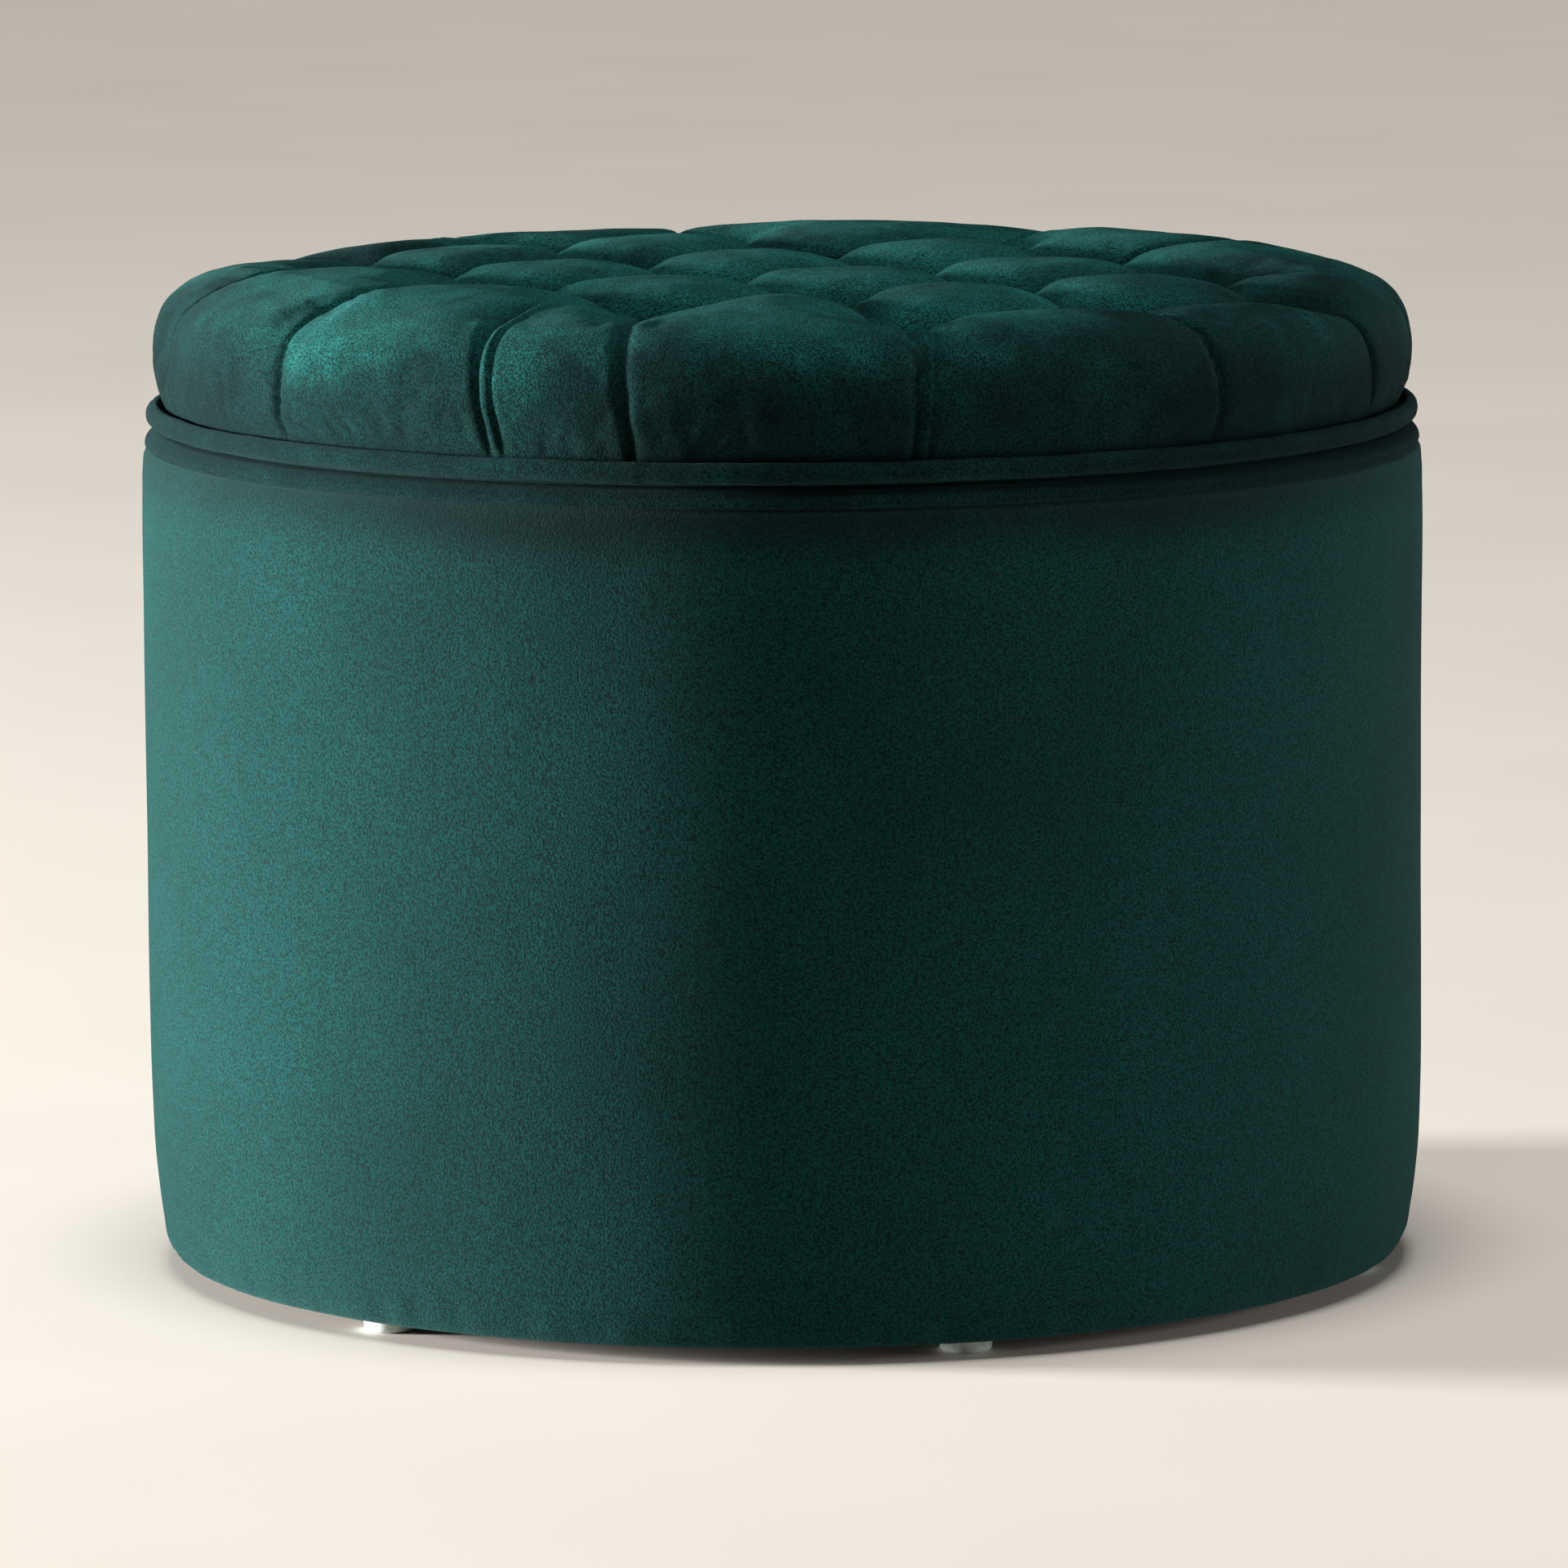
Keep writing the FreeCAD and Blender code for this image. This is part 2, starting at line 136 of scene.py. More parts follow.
# ---------------------------------------------------------------- materials
def linear(code):
    """An sRGB hex colour as linear red, green, blue, alpha."""
    values = [int(code[i:i + 2], 16) / 255 for i in (1, 3, 5)]
    return [v / 12.92 if v <= 0.04045 else ((v + 0.055) / 1.055) ** 2.4 for v in values] + [1]


def add_node(tree, kind, inputs=(), **settings):
    """Adds a node with its settings; each input is (socket, value or source socket)."""
    node = tree.nodes.new(kind)
    for name, value in settings.items():
        setattr(node, name, value)
    for socket, value in inputs:
        if isinstance(value, bpy.types.NodeSocket):
            tree.links.new(value, node.inputs[socket])
        else:
            node.inputs[socket].default_value = value
    return node


def new_material(name, **shader):
    material = bpy.data.materials.new(name)
    material.use_nodes = True
    tree = material.node_tree
    principled = tree.nodes["Principled BSDF"]
    for socket, value in shader.items():
        principled.inputs[socket.replace("_", " ")].default_value = value
    where = add_node(tree, "ShaderNodeTexCoord").outputs["Object"]
    return material, tree, principled, where


def ramp(tree, source, stops):
    node = add_node(tree, "ShaderNodeValToRGB", [("Fac", source)])
    elements = node.color_ramp.elements
    while len(elements) < len(stops):
        elements.new(0.5)
    for element, (place, colour) in zip(elements, stops):
        element.position, element.color = place, linear(colour)
    return node.outputs["Color"]


def noise_node(tree, where, size_mm, detail=2, rough=0.5, stretch=(1, 1, 1)):
    """Noise whose lumps are about size_mm across."""
    scaled = add_node(tree, "ShaderNodeMapping", [("Vector", where), ("Scale", stretch)])
    return add_node(tree, "ShaderNodeTexNoise", [
        ("Vector", scaled.outputs["Vector"]), ("Scale", 1 / (size_mm * MM)), ("Detail", detail),
        ("Roughness", rough)]).outputs["Fac"]


def set_bump(tree, principled, layers):
    """Stacks (height, strength, depth in mm) layers on the shader's normal."""
    normal = None
    for height, strength, depth in layers:
        inputs = [("Height", height), ("Strength", strength), ("Distance", depth * MM)]
        if normal:
            inputs.append(("Normal", normal))
        normal = add_node(tree, "ShaderNodeBump", inputs).outputs["Normal"]
    tree.links.new(normal, principled.inputs["Normal"])


# Polyester velvet, short cut pile.  On the drum it lies smooth and catches light as a pale bloom;
# on the lid hands have pushed it about, and it is paler in patches 30 to 80 mm across.  Painted light
# and shade are in its colour too: darker at the top of the drum's wall, and on the lid paler on top and
# darker down the sides.  Pile tufts are 0.3 mm apart, drawn at 1.1 mm so that the nap shows as grain.
def velvet_cloth(name, lay_colour, sheen, grain_mm, grain_depth, ruffle):
    material, tree, shader, where = new_material(
        name, Roughness=0.95, Sheen_Weight=sheen, Sheen_Roughness=0.6,
        Sheen_Tint=linear("#A6F2EF"), Specular_IOR_Level=0.05)
    grain = noise_node(tree, where, grain_mm, detail=2, rough=0.7)
    lay, lean = lay_colour(tree, where)
    fleck = ramp(tree, grain, [(0.4, "#505050"), (0.6, "#FFFFFF")])
    pile = add_node(tree, "ShaderNodeMix", [("Factor", 0.9)], data_type="RGBA", blend_type="MULTIPLY")
    tree.links.new(lay, pile.inputs[6])
    tree.links.new(fleck, pile.inputs[7])
    tree.links.new(pile.outputs[2], shader.inputs["Base Color"])
    set_bump(tree, shader, [(lean, ruffle, 4), (grain, 0.8, grain_depth)])
    return material


def smooth_lay_painted_shade(tree, where):
    """Even pile, with painted shade: darker over the top of the wall, in the 34 mm just below the rim strip
    under the lid.
    """
    drift = noise_node(tree, where, 160, detail=3)
    height = add_node(tree, "ShaderNodeSeparateXYZ", [("Vector", where)]).outputs["Z"]
    # painted shade: the wall's colour darkens towards the rim strip, under the lid
    painted_shade_under_lid = add_node(tree, "ShaderNodeMapRange", [
        ("Value", height), ("From Min", strip_z - 34 * MM), ("From Max", strip_z), ("To Min", 0.0),
        ("To Max", 0.45)], interpolation_type="SMOOTHSTEP").outputs["Result"]
    lay = add_node(tree, "ShaderNodeMath", [(0, drift), (1, painted_shade_under_lid)], operation="SUBTRACT").outputs["Value"]
    return ramp(tree, lay, [(0.0, "#021918"), (0.35, "#05312F"), (0.7, "#093A38")]), drift


def handled_lay_painted_light(tree, where):
    """Pile brushed about by hands, paler and darker in patches 60 mm across; painted light makes it paler
    towards the crest, and painted shade makes it darker down the sides and darkest on both flanks.
    """
    brush = noise_node(tree, where, 60, detail=4, rough=0.62)
    place = add_node(tree, "ShaderNodeSeparateXYZ", [("Vector", where)])
    # painted light and shade: paler over the top 44 mm of the cushion, darker below it
    painted_top_light = add_node(tree, "ShaderNodeMapRange", [
        ("Value", place.outputs["Z"]), ("From Min", crest - 44 * MM), ("From Max", crest - 3 * MM),
        ("To Min", -0.18), ("To Max", 0.17)]).outputs["Result"]
    # painted shade: both flanks of the cushion, left and right, drawn darkest
    out = add_node(tree, "ShaderNodeMath", [(0, place.outputs["X"])], operation="ABSOLUTE").outputs["Value"]
    painted_flank_shade = add_node(tree, "ShaderNodeMapRange", [
        ("Value", out), ("From Min", 0.12), ("From Max", 0.26), ("To Min", 0.0), ("To Max", 0.18)],
        interpolation_type="SMOOTHSTEP").outputs["Result"]
    # the lean mixes the brushed patches with the painted light and shade
    lean = add_node(tree, "ShaderNodeMath", [(0, brush), (1, painted_top_light)], operation="ADD").outputs["Value"]
    lean = add_node(tree, "ShaderNodeMath", [(0, lean), (1, painted_flank_shade)], operation="SUBTRACT").outputs["Value"]
    return ramp(tree, lean, [(0.1, "#02181A"), (0.4, "#072D2C"), (0.64, "#175852"), (0.85, "#226E69")]), brush


velvet = velvet_cloth("emerald_velvet", smooth_lay_painted_shade, 0.085, 1.1, 0.7, 0.05)
# a second copy of the same velvet, paler and darker by painted light and shade, for the lid and the rim strip
handled_velvet_light_and_shade = velvet_cloth("handled_velvet_light_and_shade", handled_lay_painted_light, 0.035, 1.1, 0.7, 0.3)

# Plain-woven polyester lining: matt charcoal with a faint ribbed weave.  Its threads are about
# 0.4 mm apart.  The ribs are drawn much coarser: 7.5 mm apart up the cloth and 8.7 mm on the slant.
RIB_SCALE = 1 / (1.2 * MM) / 20
lining, tree, shader, where = new_material("charcoal_lining", Roughness=0.8, Sheen_Weight=0.03,
                                           Specular_IOR_Level=0.2)
cloud = noise_node(tree, where, 60)
tree.links.new(ramp(tree, cloud, [(0.3, "#242529"), (0.7, "#303136")]), shader.inputs["Base Color"])
across = add_node(tree, "ShaderNodeTexWave", [("Vector", where), ("Scale", RIB_SCALE)],
                  bands_direction="Z")
along = add_node(tree, "ShaderNodeTexWave", [("Vector", where), ("Scale", RIB_SCALE)],
                 bands_direction="DIAGONAL")
set_bump(tree, shader, [(across.outputs["Fac"], 0.3, 0.2), (along.outputs["Fac"], 0.3, 0.2)])

# Spun-bonded polypropylene dust cloth: matted fibres, matt black.
dust_cloth, tree, shader, where = new_material("dust_cloth", Roughness=0.85, Specular_IOR_Level=0.25)
fibre = noise_node(tree, where, 1.5, detail=4, rough=0.7, stretch=(1, 2.5, 1))
tree.links.new(ramp(tree, fibre, [(0.3, "#131313"), (0.7, "#242424")]), shader.inputs["Base Color"])
set_bump(tree, shader, [(fibre, 0.5, 0.3)])

# Sanded birch plywood: pale grain on the faces, and darker plies.  Real plies are about 1.5 mm
# thick.  These are drawn coarser, 6.3 mm apart.
plywood, tree, shader, where = new_material("birch_plywood", Roughness=0.55)
figure = noise_node(tree, where, 12, detail=4, stretch=(0.12, 1, 1))
plies = add_node(tree, "ShaderNodeTexWave", [("Vector", where), ("Scale", 1 / (3 * MM) / 20 * 3)],
                 bands_direction="Z")
face = ramp(tree, figure, [(0.3, "#B98F5F"), (0.7, "#DDBE90")])
stripe = ramp(tree, plies.outputs["Fac"], [(0.45, "#A88A68"), (0.6, "#FFFFFF")])
wood_mix = add_node(tree, "ShaderNodeMix", [("Factor", 0.35)], data_type="RGBA", blend_type="MULTIPLY")
tree.links.new(face, wood_mix.inputs[6])
tree.links.new(stripe, wood_mix.inputs[7])
tree.links.new(wood_mix.outputs[2], shader.inputs["Base Color"])
set_bump(tree, shader, [(figure, 0.2, 0.3)])

# Oil-tempered hardboard: pressed brown fibre, slightly glossy.
hardboard, tree, shader, where = new_material("hardboard", Roughness=0.5)
fibre = noise_node(tree, where, 2.5, detail=4, rough=0.7)
tree.links.new(ramp(tree, fibre, [(0.3, "#4B2F1B"), (0.7, "#73502F")]), shader.inputs["Base Color"])
set_bump(tree, shader, [(fibre, 0.3, 0.3)])

# Planed pine: long grain up the posts.
pine, tree, shader, where = new_material("planed_pine", Roughness=0.6)
figure = noise_node(tree, where, 5, detail=4, stretch=(1, 1, 0.06))
tree.links.new(ramp(tree, figure, [(0.3, "#C09055"), (0.7, "#E4C28C")]), shader.inputs["Base Color"])
set_bump(tree, shader, [(figure, 0.25, 0.3)])

# Cut polyurethane foam: open cells about a millimetre across.
foam, tree, shader, where = new_material("cut_foam", Roughness=0.95, Specular_IOR_Level=0.1)
cells = noise_node(tree, where, 1.5, detail=3)
tree.links.new(ramp(tree, cells, [(0.3, "#CDBB86"), (0.7, "#EFE3BC")]), shader.inputs["Base Color"])
set_bump(tree, shader, [(cells, 0.6, 0.5)])

# Injection-moulded polyethylene glides: milky white, soft gloss, faintly scuffed.
glide_plastic, tree, shader, where = new_material("milky_polyethylene", Roughness=0.38, IOR=1.51,
                                                  Subsurface_Weight=0.15, Subsurface_Scale=0.004)
scuff = noise_node(tree, where, 3, detail=4, rough=0.7)
tree.links.new(ramp(tree, scuff, [(0.3, "#AEBAB3"), (0.7, "#CBD6CF")]), shader.inputs["Base Color"])
set_bump(tree, shader, [(scuff, 0.15, 0.15)])

# Zinc-plated steel: pale grey with a faint mottle from the plating bath.
zinc, tree, shader, where = new_material("zinc_plated_steel", Metallic=1.0)
mottle = noise_node(tree, where, 2, detail=3)
tree.links.new(ramp(tree, mottle, [(0.3, "#9FA2A3"), (0.7, "#C9CBCA")]), shader.inputs["Base Color"])
tree.links.new(ramp(tree, mottle, [(0.3, "#4C4C4C"), (0.7, "#7A7A7A")]), shader.inputs["Roughness"])

# Waxed polyester twine: buff, uneven in tone where its plies cross.
twine, tree, shader, where = new_material("waxed_twine", Roughness=0.6)
plies = noise_node(tree, where, 1.2, detail=2, stretch=(1, 1, 0.4))
tree.links.new(ramp(tree, plies, [(0.3, "#A79A7C"), (0.7, "#D8CDB0")]), shader.inputs["Base Color"])
set_bump(tree, shader, [(plies, 0.4, 0.3)])

FINISHES = {"velvet": velvet, "lining": lining, "dust_cloth": dust_cloth, "foam": foam,
            "plywood": plywood, "hardboard": hardboard, "softwood": pine,
            "glide_plastic": glide_plastic, "steel": zinc, "twine": twine}


def finish(piece, slot, material=None):
    piece.data.materials.clear()
    piece.data.materials.append(material or FINISHES[slot])


for part in frame["record"]["subparts"]:
    node = frame["nodes"][part["node"]]
    for place in node.material_slots:
        place.material = FINISHES[part["material_slot"]]

# ---------------------------------------------------------------- tufted cushion of the lid
# Buttons stand in staggered rows; folds join each to its four neighbours, and pleats run from
# the outer buttons over the edge to the welt.
COLUMN, ROW, LIMIT = 0.142, 0.073, 0.253
SHIFT, STRAY = (0.0075, 0.0025), (0.023, 0.005)
STRAYS = {(-3, 0): 1, (-2, 0): 0.4}
LATTICE, BUTTONS = [], []
for row in range(-4, 4):
    for column in range(-4, 5):
        x, y = COLUMN * (column + (-0.25 if row % 2 else 0.25)), ROW * (row + 0.5)
        if math.hypot(x, y) <= LIMIT:
            share = STRAYS.get((row, column), 0)
            LATTICE.append((x, y))
            BUTTONS.append((x + SHIFT[0] + STRAY[0] * share, y + SHIFT[1] + STRAY[1] * share))
FOLDS = [(BUTTONS[i], BUTTONS[j]) for i in range(len(LATTICE)) for j in range(i + 1, len(LATTICE))
         if math.hypot(LATTICE[i][0] - LATTICE[j][0], LATTICE[i][1] - LATTICE[j][1]) < 0.11]
# (where the pleat starts, in mm; its angle at the edge in degrees; its depth and width in mm;
# whether it is folded twice)
PLEATS = [((-5, -175), -85, 7.0, 2.0, False), ((-48, -196), -98.5, 6.0, 2.0, True),
          ((114, -180), -60.5, 9.0, 2.2, True), ((185, -107), -30, 5.0, 2.0, False),
          ((256, -34), -4, 6.5, 2.6, False), ((185, 39), 13, 3.5, 2.2, False),
          ((114, 112), 46, 5.0, 2.0, True), ((43, 185), 79, 5.0, 2.0, False),
          ((-99, 185), 120, 5.0, 2.0, False), ((-170, 112), 148, 4.5, 2.2, True),
          ((-241, 39), 172, 4.5, 2.2, False), ((-170, -34), -146, 3.5, 2.2, False),
          ((-99, -107), -122.5, 5.0, 2.0, False)]

CUSHION_LINE = [
    (0.0, crest - 1.5 * MM), (0.09, crest - 1.5 * MM), (0.17, crest - 1.9 * MM),
    (0.225, crest - 2.9 * MM), (0.255, crest - 5.2 * MM), (0.274, crest - 9.5 * MM),
    (0.286, crest - 15.8 * MM), (0.2922, crest - 24 * MM), (0.2948, crest - 33.5 * MM),
    (0.2952, crest - 43 * MM), (0.2938, crest - 52 * MM), (0.2915, crest - 60 * MM),
    (edge_radius + 0.6 * MM, crest - 66 * MM), (edge_radius, crest - 71 * MM)]
cushion_line, reach = curve_through(CUSHION_LINE, 400)
along_line = np.linspace(0, reach, 400)
tangent = np.gradient(cushion_line, along_line, axis=0)
outward = np.stack([-tangent[:, 1], tangent[:, 0]], 1)


def to_segment(points, a, b):
    """Distance to the segment a-b, the share of the way along it, and the side of it."""
    a, b = np.array(a), np.array(b)
    run = b - a
    share = np.clip(((points - a) @ run) / (run @ run), 0, 1)
    gap = points - (a + share[:, None] * run)
    side = np.sign(run[0] * (points[:, 1] - a[1]) - run[1] * (points[:, 0] - a[0]))
    return np.linalg.norm(gap, axis=1), share, side


def plan_of(angle, distance):
    return distance * math.cos(math.radians(angle)), distance * math.sin(math.radians(angle))


def tufted_drop(plan, crisp=1.0):
    """How far the velvet is drawn in from the cushion's full shape, in metres."""
    fold = np.zeros(len(plan))
    for a, b in FOLDS:
        away, share, side = to_segment(plan, a, b)
        depth = 11 + 4 * np.abs(2 * share - 1)**2
        # each fold is a flap: one flank drops straight in under the lip of the other
        reach_in = np.where(side > 0, 0.0022, 0.0048) / crisp
        sharp = np.exp(-(np.sqrt(away**2 + 0.0008**2) - 0.0008) / reach_in)
        line = depth * (0.55 * sharp + 0.45 * np.exp(-(away / 0.017) ** 2))
        lip = np.exp(-((away - 0.0075) / 0.004) ** 2) * (side < 0)
        line -= 1.1 * crisp * lip * (1 - np.abs(2 * share - 1))
        fold = np.maximum(fold, line)
    for (x, y), angle, depth, width, twin in PLEATS:
        start = (x * MM, y * MM)
        away, share, side = to_segment(plan, start, plan_of(angle, reach))
        fade = np.clip(1.15 - share, 0.45, 1) if twin else np.clip(1.3 - share, 0.6, 1)
        broad = 3.2 * (1 - np.clip(share * 1.25, 0, 1)) ** 1.2
        line = broad * np.exp(-(away / 0.02) ** 2) + depth * fade * np.exp(-(away / (width * MM)) ** 1.2)
        if twin:
            # a second crease beside the first, with a proud ridge between the two
            beside = np.abs(away * side - 0.0075)
            line = np.maximum(line, 0.6 * depth * fade * np.exp(-(beside / 0.0016) ** 1.2))
            line -= 1.6 * fade * np.exp(-((away * side - 0.004) / 0.0022) ** 2)
        fold = np.where(line > 0, np.maximum(fold, line), np.where(fold < 1, fold + line, fold))
    dimple = np.zeros(len(plan))
    for x, y in BUTTONS:
        away = np.hypot(plan[:, 0] - x, plan[:, 1] - y)
        dimple = np.maximum(dimple, 26 * np.exp(-(away / 0.0165) ** 1.6))
    return (fold + dimple * (1 - 0.25 * fold / 15)) * MM


def net_of(cells):
    """A square net of plan points drawn into a disc, with its faces and its edge in order."""
    side = np.linspace(-1, 1, cells + 1)
    u, v = np.meshgrid(side, side)
    plan = np.stack([u * np.sqrt(1 - v**2 / 2), v * np.sqrt(1 - u**2 / 2)], -1).reshape(-1, 2) * reach
    row = cells + 1
    faces = [(j * row + i, j * row + i + 1, (j + 1) * row + i + 1, (j + 1) * row + i)
             for j in range(cells) for i in range(cells)]
    edge = (list(range(row)) + [j * row + cells for j in range(1, row)]
            + [cells * row + i for i in range(cells - 1, -1, -1)]
            + [j * row for j in range(cells - 1, 0, -1)])
    return plan, faces, edge


def draped(plan, lift):
    """The plan laid on the cushion's full shape and raised square to it by lift."""
    far = np.linalg.norm(plan, axis=1)
    heading = plan / np.maximum(far, 1e-9)[:, None]
    radius = np.interp(far, along_line, cushion_line[:, 0]) + lift * np.interp(far, along_line, outward[:, 0])
    height = np.interp(far, along_line, cushion_line[:, 1]) + lift * np.interp(far, along_line, outward[:, 1])
    return np.column_stack([heading * radius[:, None], height])


def puffed(cells):
    """Cloth simulation of the tufted velvet: held at the buttons, folds and lower edge, pushed out
    by the wadding under it.  Gives each net point's move, as a (cells + 1) square array."""
    plan, faces, edge = net_of(cells)
    far = np.linalg.norm(plan, axis=1)
    drop = tufted_drop(plan, crisp=0.6)
    rest = draped(plan, -drop * np.clip((reach - far) / 0.02, 0, 1))
    mesh = bpy.data.meshes.new("puffed_net")
    mesh.from_pydata([tuple(point) for point in rest], [], faces)
    net = bpy.data.objects.new("puffed_net", mesh)
    bpy.context.collection.objects.link(net)
    held = net.vertex_groups.new(name="held")
    nearest = np.min([np.hypot(plan[:, 0] - x, plan[:, 1] - y) for x, y in BUTTONS], axis=0)
    along_fold = np.min([to_segment(plan, a, b)[0] for a, b in FOLDS], axis=0)
    weight = np.where((nearest < 0.012) | (far > reach - 0.012), 1.0, np.where(along_fold < 0.004, 0.5, 0.0))
    for index in np.nonzero(weight)[0]:
        held.add([int(index)], float(weight[index]), "REPLACE")
    cloth = net.modifiers.new("Cloth", "CLOTH")
    cloth.settings.vertex_group_mass = "held"
    cloth.settings.quality = 4
    cloth.settings.mass = 0.3
    cloth.settings.tension_stiffness = cloth.settings.compression_stiffness = 12
    cloth.settings.bending_stiffness = 0.4
    cloth.settings.shrink_min = -0.03
    cloth.settings.use_pressure = True
    cloth.settings.uniform_pressure_force = 4
    cloth.settings.effector_weights.gravity = 0
    cloth.collision_settings.use_self_collision = False
    for frame_number in range(1, 21):
        bpy.context.scene.frame_set(frame_number)
    select_only(net)
    bpy.ops.object.modifier_apply(modifier=cloth.name)
    bpy.context.scene.frame_set(1)
    moved = np.array([tuple(vertex.co) for vertex in net.data.vertices]) - rest
    bpy.data.objects.remove(net)
    # the cushion keeps its upright sides: the swelling common to a whole ring is taken off again
    rings = 40
    heading = plan / np.maximum(far, 1e-9)[:, None]
    slope = np.column_stack([heading * np.interp(far, along_line, outward[:, 0])[:, None],
                             np.interp(far, along_line, outward[:, 1])])
    swell = np.sum(moved * slope, axis=1)
    ring = (far / reach * rings).astype(int)
    common = np.bincount(ring, swell) / np.maximum(np.bincount(ring), 1)
    moved -= slope * (np.interp(far / reach * rings, np.arange(len(common)) + 0.5, common))[:, None]
    size = np.linalg.norm(moved, axis=1)
    share_kept, most = 0.45, 8 * MM
    moved *= share_kept * np.minimum(1, most / np.maximum(size, 1e-9))[:, None]
    return moved.reshape(cells + 1, cells + 1, 3)


def spread(grid, cells):
    """A coarse square array of moves read at the points of a finer net."""
    at = np.linspace(0, grid.shape[0] - 1, cells + 1)
    low = np.clip(at.astype(int), 0, grid.shape[0] - 2)
    part = at - low
    rows = grid[low] * (1 - part)[:, None, None] + grid[low + 1] * part[:, None, None]
    both = rows[:, low] * (1 - part)[None, :, None] + rows[:, low + 1] * part[None, :, None]
    return both.reshape(-1, 3)


cells = 380
plan, faces, edge = net_of(cells)
far = np.linalg.norm(plan, axis=1)
flat_plan = np.column_stack([plan, np.zeros(len(plan))])
lumps = 1.0 * soft_noise(flat_plan, 0.055, 3) + 0.25 * soft_noise(flat_plan, 0.014, 4)
points = draped(plan, (-tufted_drop(plan) + lumps * MM) * np.clip((reach - far) / 0.02, 0, 1))
points = points + spread(puffed(110), cells)
points = list(map(tuple, points))
# below the welt the velvet goes on down the board's edge and is turned in underneath
TURNED_IN = [(edge_radius, welt_z), (edge_radius, lid_under + 1 * MM), (edge_radius - 1 * MM, lid_under),
             (0.27, lid_under), (0.2525, lid_under), (0.2518, lid_under + 1.2 * MM)]
ring_now = edge
for radius, height in TURNED_IN:
    ring_next = []
    for index in ring_now:
        x, y, _ = points[index]
        scale = radius / math.hypot(x, y)
        ring_next.append(len(points))
        points.append((x * scale, y * scale, height))
    for i in range(len(edge)):
        j = (i + 1) % len(edge)
        faces.append((ring_now[j], ring_now[i], ring_next[i], ring_next[j]))
    ring_now = ring_next
faces.append(tuple(reversed(ring_now)))
cushion = cloth_piece("cushion_velvet", points, faces, "lid")
finish(cushion, "velvet", handled_velvet_light_and_shade)
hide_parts("lid_cover", "lid_cushion")

# ---------------------------------------------------------------- covered buttons
# Velvet drawn over a domed shell and gathered under its rim in eight soft pleats.
dimple_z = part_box("tuft_buttons")[0].z
BUTTON_LINE = [(0.0, 7.6), (3.0, 7.3), (6.0, 6.2), (8.4, 4.4), (9.7, 2.4), (9.6, 0.9), (8.2, 0.0),
               (4.0, 0.0), (0.0, 0.0)]   # radius and height in mm, from the crown to the back
GATHERS, AROUND = 8, 24
points, faces = [], []
for x, y in BUTTONS:
    first = len(points)
    for radius, height in BUTTON_LINE[1:-1]:
        for step in range(AROUND):
            angle = 2 * math.pi * step / AROUND
            gather = 1 + 0.035 * math.cos(GATHERS * angle) * (height < 4.5) * (height > 0)
            points.append((x + radius * gather * math.cos(angle) * MM,
                           y + radius * gather * math.sin(angle) * MM, dimple_z + height * MM))
    rows = len(BUTTON_LINE) - 2
    for row in range(rows - 1):
        for step in range(AROUND):
            turn = (step + 1) % AROUND
            faces.append((first + row * AROUND + step, first + (row + 1) * AROUND + step,
                          first + (row + 1) * AROUND + turn, first + row * AROUND + turn))
    for height, row, way in ((BUTTON_LINE[0][1], 0, 1), (BUTTON_LINE[-1][1], rows - 1, -1)):
        points.append((x, y, dimple_z + height * MM))
        for step in range(AROUND):
            fan = (len(points) - 1, first + row * AROUND + step, first + row * AROUND + (step + 1) % AROUND)
            faces.append(fan[::way])
buttons = cloth_piece("covered_buttons", points, faces, "lid")
finish(buttons, "velvet", handled_velvet_light_and_shade)
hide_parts("tuft_buttons")

# ---------------------------------------------------------------- welt
# Piping cord in a bias strip of the same velvet: slightly uneven, with small gathers.
steps = 720
ring_steps = 16
welt_radius = (welt_high.z - welt_low.z) / 2
welt_circle = edge_radius + welt_radius - 0.4 * MM
points, faces = [], []
for step in range(steps):
    angle = 2 * math.pi * step / steps
    spot = Vector((math.cos(angle), math.sin(angle), 0)) * 6
    swell = 1 + 0.05 * noise.noise(spot * 3) + 0.03 * noise.noise(spot * 14)
    rise = 0.5 * MM * noise.noise(spot * 1.3 + Vector((4, 0, 0)))
    for ring_step in range(ring_steps):
        tilt = 2 * math.pi * ring_step / ring_steps
        radius = welt_circle + welt_radius * swell * math.cos(tilt)
        points.append((radius * math.cos(angle), radius * math.sin(angle),
                       welt_z + rise + welt_radius * swell * math.sin(tilt)))
        after, turn = (step + 1) % steps, (ring_step + 1) % ring_steps
        faces.append((step * ring_steps + ring_step, after * ring_steps + ring_step,
                      after * ring_steps + turn, step * ring_steps + turn))
welt = cloth_piece("welt_velvet", points, faces, "lid")
finish(welt, "velvet", handled_velvet_light_and_shade)
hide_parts("lid_welt")

# ---------------------------------------------------------------- padded side of the drum
SIDE_LINE = [
    (drum_radius - 50 * MM, hem_z), (drum_radius - 30 * MM, hem_z), (drum_radius - 14 * MM, hem_z),
    (drum_radius - 11 * MM, hem_z + 0.6 * MM), (drum_radius - 8.4 * MM, hem_z + 5 * MM),
    (drum_radius - 5 * MM, hem_z + 18 * MM), (drum_radius - 2 * MM, hem_z + 40 * MM),
    (drum_radius - 0.4 * MM, hem_z + 75 * MM), (drum_radius, hem_z + 120 * MM),
    (drum_radius, hem_z + 200 * MM), (drum_radius, hem_z + 300 * MM), (drum_radius, strip_z - 22 * MM),
    (drum_radius - 0.5 * MM, strip_z - 8 * MM), (drum_radius - 1.6 * MM, strip_z - 1.5 * MM),
    (drum_radius - 3.4 * MM, strip_z + 0.5 * MM), (frame_radius + 1 * MM, strip_z + 0.5 * MM)]
side_line = curve_through(SIDE_LINE, 190)[0]
